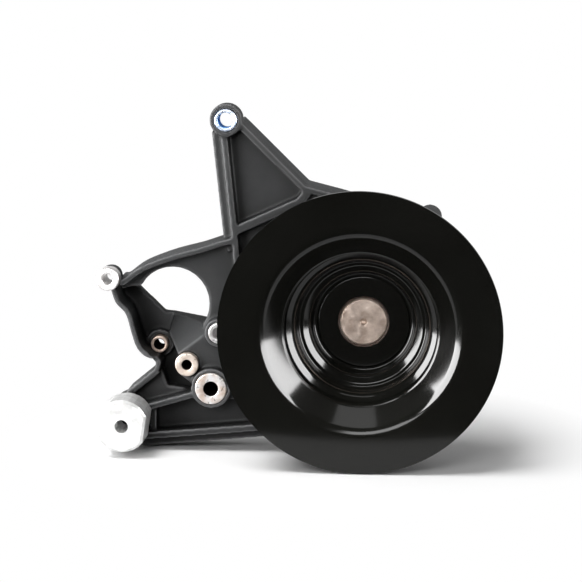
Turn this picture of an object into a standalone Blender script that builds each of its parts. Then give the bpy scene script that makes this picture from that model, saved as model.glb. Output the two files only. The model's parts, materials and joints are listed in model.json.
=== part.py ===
"""Belt tensioner idler: a cast bracket that carries a grooved belt pulley on an integral-shaft bearing.

The pulley turns about the Y axis. Y = 0 is the machined rear face that bolts to the engine, the pulley faces -Y,
+X is to the right as seen from the pulley's side, and +Z is up. Lengths are in metres. A place on the bracket is
(x, z), and a profile point of a turned piece is (radius, y).
"""

import math

import bmesh
import bpy
from mathutils import Matrix, Vector

GAP = 0.0003  # clearance between pieces that touch or are pressed together

# Pulley
PULLEY_RADIUS = 0.090
FLANGE_HEIGHT = 0.009  # how far the front flange stands out past the grooves
RIM_WIDTH = 0.048
RIM_WALL = 0.0065
GROOVE_PITCH = 0.00356
GROOVE_DEPTH = 0.0030
LAND_WIDTH = 0.0026  # plain land at each end of the grooves
LAND_CHAMFER = 0.0008
SHEET = 0.003  # wall of the pressed dish and of the stepped cup
OUTER_BEND = 0.0060  # radii of the pressed bends: outer ones turn down into a wall, inner ones end it
STEP_BEND = 0.0038
FOOT_BEND = 0.0015
BEND_RADIUS = 0.0644  # where the flat front annulus turns into the dish
SEAM_RADIUS = 0.0483  # where the dish meets the stepped cup
SEAM_DEPTH = 0.021
SEAM_LIP = 0.0050  # from the foot of the dish's wall to the seam
SHOULDER = 0.0044  # from the seam to the cup's first step
PLATEAU_DEPTH = 0.0336  # the flat between the cup's two steps
PLATEAU_OUTER = 0.0420
PLATEAU_INNER = 0.0368
HUB_RADIUS = 0.0296
HUB_LEDGE = 0.0030  # from the foot of the cup's last step to the hub
HUB_SETBACK = 0.0034  # from the hub's flat face to the plane of the rim's rear edge
HUB_LENGTH = 0.0075
HUB_FACE_THICKNESS = 0.0042
HUB_BACK_RADIUS = 0.024

# Shaft and bearing
SHAFT_RADIUS = 0.0153
SHAFT_PROUD = 0.0008  # how far the shaft end stands out of the hub's flat face
SHAFT_CHAMFER = 0.0009
CENTRE_HOLE_RADIUS = 0.0020
CENTRE_HOLE_DEPTH = 0.0022
BALL_RADIUS = 0.0045
BALL_COUNT = 8
ROW_SPACING = 0.0165
RACE_DEPTH = 0.0015
BEARING_WALL = 0.0056
BEARING_SETBACK = 0.0008  # from the crest of the ribs back to the front of the bearing
SHAFT_SETBACK = 0.0008  # from the rear of the outer ring back to the rear of the shaft
CAGE_THICKNESS = 0.0028
CAGE_RAIL = 0.0014
SEAL_THICKNESS = 0.0014
SEAL_INSET = 0.0008
RETAINER_THICKNESS = 0.0015
RETAINER_SEAT = 0.0012  # how far the retaining ring sits into the wall of the housing
RETAINER_DEPTH = 0.0022  # how far it reaches inwards
RETAINER_HALF_OPENING = 8  # degrees
SLINGER_THICKNESS = 0.0012
SLINGER_WIDTH = 0.0079
SLINGER_CLEARANCE = 0.0011

# Bracket depths, each measured from the rear face towards the pulley
BRACKET_DEPTH = 0.040  # crest of the ribs
RIB_REAR = 0.006
LEDGE_FRONT = 0.033
FLANGE_FRONT = 0.0375  # of the flat flange from the triangle's base to the right boss
WEB_FRONT = 0.031
WEB_REAR = 0.022
MIDDLE_FRONT = 0.034
MIDDLE_REAR = 0.008
HUB_WEB_FRONT = 0.029
HUB_WEB_REAR = 0.020
RAMP_REAR = 0.006
POCKET_END_FRONT = 0.036
LOWER_WEB_FRONT = 0.027
LOWER_WEB_REAR = 0.016
FLOOR_FRONT = 0.012
FLOOR_REAR = 0.004
WALL_FRONT = 0.038
BOSS_PROUD = 0.0008  # a boss above the crest of the ribs
BUSHING_PROUD = 0.0009  # a bushing above its boss
HOUSING_WALL = 0.008
HOUSING_FLOOR = 0.005
HOUSING_LIP = 0.0012  # in front of the retaining ring
RIB_WIDTH = 0.0042
LEDGE_WIDTH = 0.0085  # of the step outside the triangle's left rib
WALL_WIDTH = 0.0032
ARCH_RIB_WIDTH = 0.0038
BASE_RIB_WIDTH = 0.0058
BOTTOM_RIB_WIDTH = 0.0046
CORE_INSET = 0.001  # the first core disc lies this far inside the housing that is joined to it
CUT_OVERRUN = 0.010  # how far a cutter runs past the faces that it opens

# Bosses: each has its centre, its bushing's radius and hole, and the wall of cast metal round the bushing
TOP_BOSS = (-0.0900, 0.1285)
TOP_BUSHING_RADIUS = 0.0072
TOP_HOLE_RADIUS = 0.0050
TOP_WALL = 0.0032
TOP_REAR = 0.029
LEFT_BOSS = (-0.1673, 0.0245)
LEFT_HEAD_RADIUS = 0.0076
LEFT_SHANK_RADIUS = 0.0048
LEFT_HOLE_RADIUS = 0.0034
LEFT_WALL = 0.0022
LEFT_BOSS_FRONT = 0.036
LEFT_REAR = 0.026
LEFT_HEAD_HEIGHT = 0.010
SMALL_BOSS = (-0.1373, -0.0225)
SMALL_SLEEVE_RADIUS = 0.0057
SMALL_HOLE_RADIUS = 0.0035
SMALL_WALL = 0.0031
SMALL_BOSS_FRONT = 0.016
SMALL_SLEEVE_PROUD = 0.005
MIDDLE_BOSS = (-0.1168, -0.0328)
MIDDLE_HEAD_RADIUS = 0.0077
MIDDLE_SHANK_RADIUS = 0.0056
MIDDLE_HOLE_RADIUS = 0.0032
MIDDLE_WALL = 0.0025
MIDDLE_BOSS_FRONT = 0.032
MIDDLE_HEAD_HEIGHT = 0.006
LARGE_BOSS = (-0.1006, -0.0478)
LARGE_SLEEVE_RADIUS = 0.0104
LARGE_HOLE_RADIUS = 0.0047
LARGE_WALL = 0.0025
INNER_BOSS = (-0.0952, -0.0108)
INNER_BUSHING_RADIUS = 0.0069
INNER_HOLE_RADIUS = 0.0040
INNER_WALL = 0.0023
RIGHT_BOSS = (0.0405, 0.0625)
RIGHT_BUSHING_RADIUS = 0.0056
RIGHT_HOLE_RADIUS = 0.0036
RIGHT_WALL = 0.0021
RIGHT_BOSS_FRONT = 0.034
STANDOFF_CENTRE = (-0.1561, -0.0688)
STANDOFF_RADIUS = 0.0173
STANDOFF_HALF_WIDTH = 0.0149  # from the centre to each of its two flats
STANDOFF_TILT = math.radians(8.6)
STANDOFF_LENGTH = 0.026
STANDOFF_HOLE_RADIUS = 0.0044
STANDOFF_CHAMFER = 0.0016
STANDOFF_SEAT_RADIUS = 0.0140
STANDOFF_SEAT_REAR = 0.010

# Dowel sleeves that locate the bracket on the engine
DOWEL_PLACES = ((-0.0720, 0.0640), (-0.0700, -0.0620))
DOWEL_RADIUS = 0.0062
DOWEL_WALL = 0.0018
DOWEL_BOSS_WALL = 0.0027
DOWEL_DEPTH = 0.012

# Opening under the arch
OPENING_CENTRE = (-0.1265, 0.0070)
OPENING_RADIUS = 0.0240

# Facets round a full turn
ROUND_SIDES = 32
BOSS_SIDES = 20

# Sizes and places that follow, with the places along -Y
RACE_RADIUS = BALL_RADIUS + GAP
PITCH_RADIUS = SHAFT_RADIUS - RACE_DEPTH + RACE_RADIUS
OUTER_BORE = PITCH_RADIUS + RACE_RADIUS - RACE_DEPTH
BEARING_RADIUS = OUTER_BORE + BEARING_WALL
CAGE_HALF_LENGTH = RACE_RADIUS + CAGE_RAIL
BEARING_LENGTH = ROW_SPACING + 2 * (CAGE_HALF_LENGTH + GAP + SEAL_THICKNESS + SEAL_INSET)
HOUSING_BORE = BEARING_RADIUS + GAP
HOUSING_RADIUS = HOUSING_BORE + HOUSING_WALL
BEARING_FRONT_Y = -max(BRACKET_DEPTH - BEARING_SETBACK, HOUSING_FLOOR + GAP + BEARING_LENGTH)
BEARING_REAR_Y = BEARING_FRONT_Y + BEARING_LENGTH
BEARING_MIDDLE_Y = (BEARING_REAR_Y + BEARING_FRONT_Y) / 2
ROW_YS = {"front": BEARING_MIDDLE_Y - ROW_SPACING / 2, "rear": BEARING_MIDDLE_Y + ROW_SPACING / 2}
RETAINER_FRONT_Y = BEARING_FRONT_Y - GAP - RETAINER_THICKNESS
HOUSING_FRONT_Y = RETAINER_FRONT_Y - HOUSING_LIP
SHAFT_REAR_Y = BEARING_REAR_Y - SHAFT_SETBACK
SLINGER_REAR_Y = BEARING_FRONT_Y - SLINGER_CLEARANCE
HUB_REAR_Y = SLINGER_REAR_Y - SLINGER_THICKNESS - GAP
HUB_FACE_Y = HUB_REAR_Y - HUB_LENGTH
SHAFT_FRONT_Y = HUB_FACE_Y - SHAFT_PROUD
RIM_REAR_Y = HUB_FACE_Y + HUB_SETBACK
PULLEY_FRONT_Y = RIM_REAR_Y - RIM_WIDTH
RIM_RADIUS = PULLEY_RADIUS - FLANGE_HEIGHT
CREST_BOSS_FRONT = BRACKET_DEPTH + BOSS_PROUD
CREST_BUSHING_FRONT = CREST_BOSS_FRONT + BUSHING_PROUD


# ---------------------------------------------------------------- materials

def material(name, colour, roughness, metallic):
    made = bpy.data.materials.new(name)
    made.use_nodes = True
    made.diffuse_color = (*colour, 1.0)
    shader = made.node_tree.nodes["Principled BSDF"]
    shader.inputs["Base Color"].default_value = (*colour, 1.0)
    shader.inputs["Roughness"].default_value = roughness
    shader.inputs["Metallic"].default_value = metallic
    return made


def make_materials():
    return {
        "casting": material("casting", (0.050, 0.051, 0.053), 0.55, 0.0),
        "black_paint": material("black_paint", (0.009, 0.009, 0.008), 0.12, 0.0),
        "zinc": material("zinc", (0.62, 0.67, 0.75), 0.28, 1.0),
        "steel": material("steel", (0.60, 0.54, 0.48), 0.34, 1.0),
        "aluminium": material("aluminium", (0.80, 0.80, 0.79), 0.38, 1.0),
        "bearing_steel": material("bearing_steel", (0.55, 0.55, 0.56), 0.15, 1.0),
        "rubber": material("rubber", (0.020, 0.020, 0.022), 0.70, 0.0),
        "cage": material("cage", (0.55, 0.42, 0.24), 0.50, 0.0),
    }


# ---------------------------------------------------------------- outlines in the XZ plane

def circle(centre, radius, sides=BOSS_SIDES):
    return [
        (centre[0] + radius * math.cos(math.tau * i / sides), centre[1] + radius * math.sin(math.tau * i / sides))
        for i in range(sides)
    ]


def arc(centre, radius, start, end, steps):
    """Points from the start angle to the end angle, in degrees anticlockwise from +X."""
    angles = [math.radians(start + (end - start) * i / steps) for i in range(steps + 1)]
    return [(centre[0] + radius * math.cos(a), centre[1] + radius * math.sin(a)) for a in angles]


def smooth(points, steps=3):
    """A Catmull-Rom curve through the points."""
    ends = [points[0], *points, points[-1]]
    curve = []
    for i in range(len(points) - 1):
        p0, p1, p2, p3 = (Vector(p) for p in ends[i:i + 4])
        for step in range(steps):
            t = step / steps
            curve.append(tuple(
                0.5 * (2 * p1 + (p2 - p0) * t + (2 * p0 - 5 * p1 + 4 * p2 - p3) * t ** 2
                       + (3 * p1 - p0 - 3 * p2 + p3) * t ** 3)
            ))
    return [*curve, tuple(points[-1])]


def rounded(corners, steps=2):
    """A polyline of (point, bend radius) corners, with an arc at each corner whose radius isn't zero."""
    line = [Vector(point) for point, _ in corners]
    points = [tuple(line[0])]
    for i in range(1, len(line) - 1):
        radius = corners[i][1]
        back, ahead = (line[i - 1] - line[i]).normalized(), (line[i + 1] - line[i]).normalized()
        half = back.angle(ahead) / 2
        centre = line[i] + (back + ahead).normalized() * radius / math.sin(half)
        reach = radius / math.tan(half)
        start, end = line[i] + back * reach - centre, line[i] + ahead * reach - centre
        first = math.atan2(start.y, start.x)
        turn = math.remainder(math.atan2(end.y, end.x) - first, math.tau)
        points += [
            (centre.x + radius * math.cos(first + turn * step / steps),
             centre.y + radius * math.sin(first + turn * step / steps))
            for step in range(steps + 1)
        ]
    return [*points, tuple(line[-1])]


def offset(points, distance):
    """The polyline moved sideways: to its left where the distance is positive."""
    line = [Vector(p) for p in points]
    moved = []
    for i in range(len(line)):
        before = (line[i] - line[i - 1]).normalized() if i else (line[1] - line[0]).normalized()
        after = (line[i + 1] - line[i]).normalized() if i + 1 < len(line) else before
        along = (before + after).normalized()
        mitre = 1 / max(along.dot(before), 0.5)
        moved.append(tuple(line[i] + Vector((-along.y, along.x)) * mitre * distance))
    return moved


def strip(points, width):
    """The outline of a wall that follows a polyline, half its width on each side."""
    return offset(points, width / 2) + offset(points, -width / 2)[::-1]


def rounded_flats(centre, radius, half_width, tilt, steps=9):
    """A circle with two parallel flats, each tilted from the vertical."""
    reach = math.acos(half_width / radius)
    points = []
    for middle in (math.pi / 2, -math.pi / 2):
        half = math.pi / 2 - reach
        for i in range(steps + 1):
            angle = middle - half + 2 * half * i / steps - tilt
            points.append((centre[0] + radius * math.cos(angle), centre[1] + radius * math.sin(angle)))
    return points


# ---------------------------------------------------------------- solids

def mesh_object(name, bm, finish=None, origin=(0, 0, 0)):
    """Closes a bmesh into an object whose origin is at the given place."""
    bmesh.ops.remove_doubles(bm, verts=bm.verts, dist=1e-7)
    bmesh.ops.recalc_face_normals(bm, faces=bm.faces)
    if bm.calc_volume(signed=True) < 0:
        bmesh.ops.reverse_faces(bm, faces=bm.faces)
    bmesh.ops.translate(bm, verts=bm.verts, vec=-Vector(origin))
    mesh = bpy.data.meshes.new(name)
    bm.to_mesh(mesh)
    bm.free()
    mesh.shade_smooth()
    mesh.set_sharp_from_angle(angle=math.radians(32))
    made = bpy.data.objects.new(name, mesh)
    made.location = origin
    bpy.context.scene.collection.objects.link(made)
    if finish:
        mesh.materials.append(finish)
    return made


def prism_mesh(outline, front, rear):
    """An outline extruded along Y between two depths. The front may be a function of (x, z)."""
    bm = bmesh.new()
    back = bm.faces.new([bm.verts.new((x, -rear, z)) for x, z in outline])
    made = bmesh.ops.extrude_face_region(bm, geom=[back])["geom"]
    for vert in (g for g in made if isinstance(g, bmesh.types.BMVert)):
        vert.co.y = -(front(vert.co.x, vert.co.z) if callable(front) else front)
    return bm


def turned_mesh(profile, sides, centre=(0, 0)):
    """A closed profile of (radius, y) points turned about the line through centre that runs along Y."""
    bm = bmesh.new()
    verts = [bm.verts.new((radius, y, 0)) for radius, y in profile]
    edges = [bm.edges.new((verts[i - 1], verts[i])) for i in range(1, len(verts))]
    if profile[0][0] > 0 or profile[-1][0] > 0:
        edges.append(bm.edges.new((verts[-1], verts[0])))
    bmesh.ops.spin(
        bm, geom=verts + edges, cent=(0, 0, 0), axis=(0, 1, 0), angle=math.tau, steps=sides, use_merge=True
    )
    bmesh.ops.remove_doubles(bm, verts=bm.verts, dist=1e-7)
    bmesh.ops.translate(bm, verts=bm.verts, vec=(centre[0], 0, centre[1]))
    return bm


def turned(name, profile, finish, sides=ROUND_SIDES, centre=(0, 0)):
    origin = (centre[0], 0, centre[1])
    return mesh_object(name, turned_mesh(profile, sides, centre), finish, origin)


def helper(name, bm, group):
    """A hidden solid that a Boolean adds or cuts."""
    made = mesh_object(name, bm)
    made.hide_render = True
    made.display_type = "WIRE"
    bpy.context.scene.collection.objects.unlink(made)
    group.objects.link(made)
    return made


def helper_group(name):
    group = bpy.data.collections.new(name)
    group.hide_render = True
    bpy.context.scene.collection.children.link(group)
    return group


def boolean(target, operation, operand):
    modifier = target.modifiers.new(operation.lower(), "BOOLEAN")
    modifier.operation = operation
    modifier.solver = "EXACT"
    if isinstance(operand, bpy.types.Collection):
        modifier.operand_type = "COLLECTION"
        modifier.collection = operand
    else:
        modifier.object = operand


# ---------------------------------------------------------------- bracket

def plates(group):
    """The casting's webs, each an outline with its front and rear depths."""
    triangle = [
        (TOP_BOSS[0] - 0.0098, TOP_BOSS[1] - 0.003), (-0.0928, 0.0530), (-0.0880, 0.0200), (-0.0300, 0.0200),
        (0.0100, 0.0500), (RIGHT_BOSS[0], RIGHT_BOSS[1]), (0.0080, 0.0740), (-0.0180, 0.0810), (-0.0378, 0.0860),
        (TOP_BOSS[0] + 0.0090, TOP_BOSS[1] - 0.0004),
    ]
    helper("triangle_web", prism_mesh(triangle, WEB_FRONT, WEB_REAR), group)
    flange = [
        (-0.0420, 0.0735), (-0.0410, 0.0840), (-0.0180, 0.0792), (0.0100, 0.0717), RIGHT_BOSS, (0.0280, 0.0500),
        (-0.0100, 0.0500),
    ]
    helper("right_flange", prism_mesh(flange, FLANGE_FRONT, WEB_REAR), group)
    arch_rim = smooth([(-0.1640, 0.0230), (-0.1585, 0.0205), (-0.1500, 0.0275), (-0.1425, 0.0320),
                       (-0.1255, 0.0382), (-0.1085, 0.0430), (-0.0950, 0.0475), (-0.0860, 0.0480)])
    inside = arc(OPENING_CENTRE, OPENING_RADIUS, -37, 152, 15)
    arch = [*arch_rim, (-0.0780, 0.0440), (-0.0700, -0.0400), (-0.1040, -0.0150), *inside,
            (-0.1540, 0.0178), (-0.1600, 0.0160)]
    helper("arch_web", prism_mesh(arch, WEB_FRONT, WEB_REAR), group)
    floor = [
        (-0.1650, 0.0180), (-0.1585, 0.0050), (-0.1548, -0.0030), (-0.1520, -0.0130), (-0.1486, -0.0216),
        (-0.1403, -0.0285), (-0.1385, -0.0395), (-0.1345, -0.0560), (-0.1050, -0.0620), (-0.0900, -0.0300),
        (-0.1020, -0.0070), (-0.1280, -0.0024), (-0.1350, -0.0016), (-0.1535, 0.0165),
    ]
    helper("deep_floor", prism_mesh(floor, FLOOR_FRONT, FLOOR_REAR), group)
    lower = [
        (-0.1362, -0.0350), (-0.1310, -0.0490), (-0.1080, -0.0520), (-0.0800, -0.0100), (-0.0300, -0.0300),
        (-0.0500, -0.0790), (-0.0717, -0.0804), (-0.1450, -0.0884), (-0.1640, -0.0700), (-0.1540, -0.0520),
    ]
    helper("lower_web", prism_mesh(lower, LOWER_WEB_FRONT, LOWER_WEB_REAR), group)
    middle = [
        (-0.1228, -0.0262), (-0.0990, -0.0085), (-0.0880, -0.0020), (-0.0600, -0.0100), (-0.0560, -0.0560),
        (-0.0950, -0.0560), (-0.1130, -0.0470), (-0.1222, -0.0400),
    ]
    helper("middle_web", prism_mesh(middle, MIDDLE_FRONT, MIDDLE_REAR), group)
    hub = [
        (-0.0890, 0.0400), (-0.0500, 0.0500), (0.0000, 0.0600), (RIGHT_BOSS[0] + 0.002, RIGHT_BOSS[1] - 0.004),
        (0.0350, 0.0100), (0.0200, -0.0280), (-0.0240, -0.0560), (-0.0560, -0.0760), (-0.0900, -0.0500),
    ]
    helper("hub_web", prism_mesh(hub, HUB_WEB_FRONT, HUB_WEB_REAR), group)


def ramp(group):
    """The web that falls away from the middle web's ridge to the lower edge of the opening."""
    high, low = Vector((-0.0970, -0.0065)), Vector((-0.1232, -0.0266))
    along = (high - low).normalized()

    def depth(x, z):
        aside = (Vector((x, z)) - low).dot(Vector((-along.y, along.x)))
        return MIDDLE_FRONT - max(aside, 0)

    outline = [tuple(low), tuple(high), (-0.1045, -0.0068), (-0.1275, -0.0022), (-0.1310, -0.0150)]
    helper("ramp", prism_mesh(outline, depth, RAMP_REAR), group)


def ribs(group):
    """Walls and ribs, each a polyline with a width, a front depth and a rear depth."""
    crest, rear, ledge = BRACKET_DEPTH, RIB_REAR, LEDGE_FRONT
    top_x, top_z = TOP_BOSS
    runs = {
        "triangle_left_edge": ([(top_x - 0.0059, top_z - 0.0080), (-0.0888, 0.0540), (-0.0859, 0.0430)],
                               LEDGE_WIDTH, ledge, rear),
        "triangle_left_crest": ([(top_x - 0.0018, top_z - 0.0050), (-0.0853, 0.0600), (-0.0828, 0.0300),
                                 (-0.0818, -0.0060)], RIB_WIDTH, crest, WEB_REAR),
        "triangle_right_edge": ([(top_x + 0.0072, top_z - 0.0015), (-0.0397, 0.0845), (-0.0180, 0.0790),
                                 (0.0100, 0.0715), RIGHT_BOSS], RIB_WIDTH, crest, rear),
        "triangle_base": ([(-0.0850, 0.0563), (-0.0420, 0.0760), (-0.0360, 0.0840)], BASE_RIB_WIDTH, crest,
                          WEB_REAR),
        "arch_rib": (smooth([(LEFT_BOSS[0] + 0.0050, LEFT_BOSS[1] - 0.0020), (-0.1583, 0.0215), (-0.1497, 0.0280),
                             (-0.1420, 0.0323), (-0.1252, 0.0386), (-0.1080, 0.0432), (-0.0945, 0.0478),
                             (-0.0860, 0.0500)]), ARCH_RIB_WIDTH, crest, rear),
        "left_wall": (smooth([(LEFT_BOSS[0] + 0.0020, LEFT_BOSS[1] - 0.0070), (-0.1622, 0.0085),
                              (-0.1568, 0.0030), (-0.1541, -0.0030), (-0.1515, -0.0130), (-0.1486, -0.0212),
                              (-0.1440, -0.0262), (-0.1388, -0.0280)]), WALL_WIDTH, WALL_FRONT, FLOOR_REAR),
        "pocket_wall": ([(-0.1400, -0.0280), (-0.1362, -0.0322), (-0.1380, -0.0395)], WALL_WIDTH, ledge,
                        FLOOR_REAR),
        "diagonal_edge": ([(-0.1368, -0.0378), (-0.1570, -0.0545)], RIB_WIDTH, ledge, rear),
        "lower_rib": ([(STANDOFF_CENTRE[0] + 0.0120, STANDOFF_CENTRE[1] + 0.0070),
                       (LARGE_BOSS[0] - 0.0100, LARGE_BOSS[1] - 0.0040)], RIB_WIDTH, crest, LOWER_WEB_REAR),
        "bottom_edge": ([(-0.1490, -0.0870), (-0.0717, -0.0793), (-0.0560, -0.0775)], BOTTOM_RIB_WIDTH, ledge,
                        rear),
        "bottom_crest": ([(-0.1470, -0.0809), (-0.0786, -0.0744), (-0.0480, -0.0713)], BOTTOM_RIB_WIDTH, crest,
                         LOWER_WEB_REAR),
        "pocket_end": ([(-0.1395, -0.0610), (-0.1395, -0.0800)], RIB_WIDTH, POCKET_END_FRONT, LOWER_WEB_REAR),
        "right_edge": ([RIGHT_BOSS, (0.0340, 0.0120)], RIB_WIDTH, WALL_FRONT, rear),
        "lower_edge": ([(-0.0560, -0.0750), (-0.0100, -0.0335)], RIB_WIDTH, WALL_FRONT, rear),
        "rib_to_base": ([(-0.0200, 0.0280), (-0.0420, 0.0760)], RIB_WIDTH, WALL_FRONT, rear),
        "rib_to_left": ([(-0.0330, 0.0060), (-0.0820, 0.0200)], RIB_WIDTH, WALL_FRONT, rear),
        "rib_to_inner": ([(-0.0330, -0.0060), INNER_BOSS], RIB_WIDTH, WALL_FRONT, rear),
        "rib_to_large": ([(-0.0260, -0.0200), LARGE_BOSS], RIB_WIDTH, WALL_FRONT, rear),
        "rib_to_right": ([(0.0150, 0.0280), RIGHT_BOSS], RIB_WIDTH, LEDGE_FRONT, rear),
    }
    for name, (points, width, front, back) in runs.items():
        helper(name, prism_mesh(strip(points, width), front, back), group)


def bosses(group):
    """Cast bosses as discs: the centre, the bushing's radius, the wall, and the front and rear depths."""
    crest = CREST_BOSS_FRONT
    cast = {
        "top_boss": (TOP_BOSS, TOP_BUSHING_RADIUS, TOP_WALL, crest, TOP_REAR),
        "left_boss": (LEFT_BOSS, LEFT_SHANK_RADIUS, LEFT_WALL, LEFT_BOSS_FRONT, LEFT_REAR),
        "small_boss": (SMALL_BOSS, SMALL_SLEEVE_RADIUS, SMALL_WALL, SMALL_BOSS_FRONT, 0),
        "middle_boss": (MIDDLE_BOSS, MIDDLE_SHANK_RADIUS, MIDDLE_WALL, MIDDLE_BOSS_FRONT, 0),
        "large_boss": (LARGE_BOSS, LARGE_SLEEVE_RADIUS, LARGE_WALL, crest, 0),
        "inner_boss": (INNER_BOSS, INNER_BUSHING_RADIUS, INNER_WALL, crest, 0),
        "right_boss": (RIGHT_BOSS, RIGHT_BUSHING_RADIUS, RIGHT_WALL, RIGHT_BOSS_FRONT, 0),
    }
    for index, place in enumerate(DOWEL_PLACES, 1):
        cast[f"dowel_boss_{index}"] = (place, DOWEL_RADIUS, DOWEL_BOSS_WALL, WEB_FRONT, 0)
    for name, (centre, radius, wall, front, rear) in cast.items():
        helper(name, prism_mesh(circle(centre, radius + GAP + wall), front, rear), group)
    seat = circle(STANDOFF_CENTRE, STANDOFF_SEAT_RADIUS)
    helper("standoff_seat", prism_mesh(seat, BRACKET_DEPTH, STANDOFF_SEAT_REAR), group)
    helper("housing", prism_mesh(circle((0, 0), HOUSING_RADIUS, ROUND_SIDES), -HOUSING_FRONT_Y, 0), group)


def bores(group):
    """Holes in the casting: each has its centre and radius and runs between two depths past the faces it opens."""
    over = CUT_OVERRUN
    through = BRACKET_DEPTH + over
    holes = {
        "top_bore": (TOP_BOSS, TOP_BUSHING_RADIUS + GAP, through, -over),
        "left_bore": (LEFT_BOSS, LEFT_SHANK_RADIUS + GAP, through, -over),
        "left_head": (LEFT_BOSS, LEFT_HEAD_RADIUS + GAP, through, LEFT_BOSS_FRONT),
        "small_bore": (SMALL_BOSS, SMALL_SLEEVE_RADIUS + GAP, through, -over),
        "middle_bore": (MIDDLE_BOSS, MIDDLE_SHANK_RADIUS + GAP, through, -over),
        "middle_head": (MIDDLE_BOSS, MIDDLE_HEAD_RADIUS + GAP, through, MIDDLE_BOSS_FRONT),
        "large_bore": (LARGE_BOSS, LARGE_SLEEVE_RADIUS + GAP, through, -over),
        "inner_bore": (INNER_BOSS, INNER_BUSHING_RADIUS + GAP, through, -over),
        "right_bore": (RIGHT_BOSS, RIGHT_BUSHING_RADIUS + GAP, through, -over),
        "standoff_bore": (STANDOFF_CENTRE, STANDOFF_HOLE_RADIUS, through, -over),
    }
    for index, place in enumerate(DOWEL_PLACES, 1):
        holes[f"dowel_bore_{index}"] = (place, DOWEL_RADIUS + GAP, DOWEL_DEPTH, -over)
    for name, (centre, radius, front, rear) in holes.items():
        helper(name, prism_mesh(circle(centre, radius), front, rear), group)
    floor = BEARING_REAR_Y + GAP
    groove_radius = HOUSING_BORE + RETAINER_SEAT
    groove_front, groove_rear = RETAINER_FRONT_Y - GAP, RETAINER_FRONT_Y + RETAINER_THICKNESS + GAP
    bore = [
        (0, floor), (HOUSING_BORE, floor), (HOUSING_BORE, groove_rear), (groove_radius, groove_rear),
        (groove_radius, groove_front), (HOUSING_BORE, groove_front), (HOUSING_BORE, HOUSING_FRONT_Y - over),
        (0, HOUSING_FRONT_Y - over),
    ]
    helper("bearing_bore", turned_mesh(bore, ROUND_SIDES), group)


def make_bracket(finish):
    added, cut = helper_group("casting_added"), helper_group("casting_cut")
    plates(added)
    ramp(added)
    ribs(added)
    bosses(added)
    bores(cut)
    core = prism_mesh(circle((0, 0), HOUSING_RADIUS - CORE_INSET, ROUND_SIDES), WEB_FRONT + CORE_INSET, CORE_INSET)
    bracket = mesh_object("bracket_casting", core, finish)
    for piece in added.objects:
        boolean(bracket, "UNION", piece)
    for piece in cut.objects:
        boolean(bracket, "DIFFERENCE", piece)
    return bracket


# ---------------------------------------------------------------- bushings, sleeves and the standoff

def tube_profile(outer, hole, front, rear, chamfer=0.0006):
    return [
        (hole, -rear), (outer - chamfer, -rear), (outer, -rear - chamfer), (outer, -front + chamfer),
        (outer - chamfer, -front), (hole + chamfer, -front), (hole, -front + chamfer),
    ]


def headed_profile(head, shank, hole, front, shoulder, rear, chamfer=0.0007):
    """A bushing with a shank in its bore and a wider head outside it."""
    return [
        (hole, -rear), (shank, -rear), (shank, -shoulder), (head, -shoulder), (head, -front + chamfer),
        (head - chamfer, -front), (hole + chamfer, -front), (hole, -front + chamfer),
    ]


def make_bushings(finishes):
    crest = CREST_BUSHING_FRONT
    plain = {
        "top_bushing": (TOP_BOSS, TOP_BUSHING_RADIUS, TOP_HOLE_RADIUS, crest, TOP_REAR, "zinc"),
        "small_sleeve": (SMALL_BOSS, SMALL_SLEEVE_RADIUS, SMALL_HOLE_RADIUS, SMALL_BOSS_FRONT + SMALL_SLEEVE_PROUD,
                         0, "steel"),
        "large_sleeve": (LARGE_BOSS, LARGE_SLEEVE_RADIUS, LARGE_HOLE_RADIUS, crest, 0, "steel"),
        "inner_bushing": (INNER_BOSS, INNER_BUSHING_RADIUS, INNER_HOLE_RADIUS, crest, 0, "aluminium"),
        "right_bushing": (RIGHT_BOSS, RIGHT_BUSHING_RADIUS, RIGHT_HOLE_RADIUS, RIGHT_BOSS_FRONT + BUSHING_PROUD,
                          0, "steel"),
    }
    for index, place in enumerate(DOWEL_PLACES, 1):
        inner = DOWEL_RADIUS - DOWEL_WALL
        plain[f"dowel_sleeve_{index}"] = (place, DOWEL_RADIUS, inner, DOWEL_DEPTH - GAP, 0, "steel")
    for name, (centre, radius, hole, front, rear, finish) in plain.items():
        turned(name, tube_profile(radius, hole, front, rear), finishes[finish], BOSS_SIDES, centre)
    headed = {
        "left_bushing": (LEFT_BOSS, LEFT_HEAD_RADIUS, LEFT_SHANK_RADIUS, LEFT_HOLE_RADIUS, LEFT_HEAD_HEIGHT,
                         LEFT_BOSS_FRONT, LEFT_REAR, "aluminium"),
        "middle_sleeve": (MIDDLE_BOSS, MIDDLE_HEAD_RADIUS, MIDDLE_SHANK_RADIUS, MIDDLE_HOLE_RADIUS,
                          MIDDLE_HEAD_HEIGHT, MIDDLE_BOSS_FRONT, 0, "steel"),
    }
    for name, (centre, head, shank, hole, height, seat, rear, finish) in headed.items():
        profile = headed_profile(head, shank, hole, seat + height, seat + GAP, rear)
        turned(name, profile, finishes[finish], BOSS_SIDES, centre)


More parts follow.
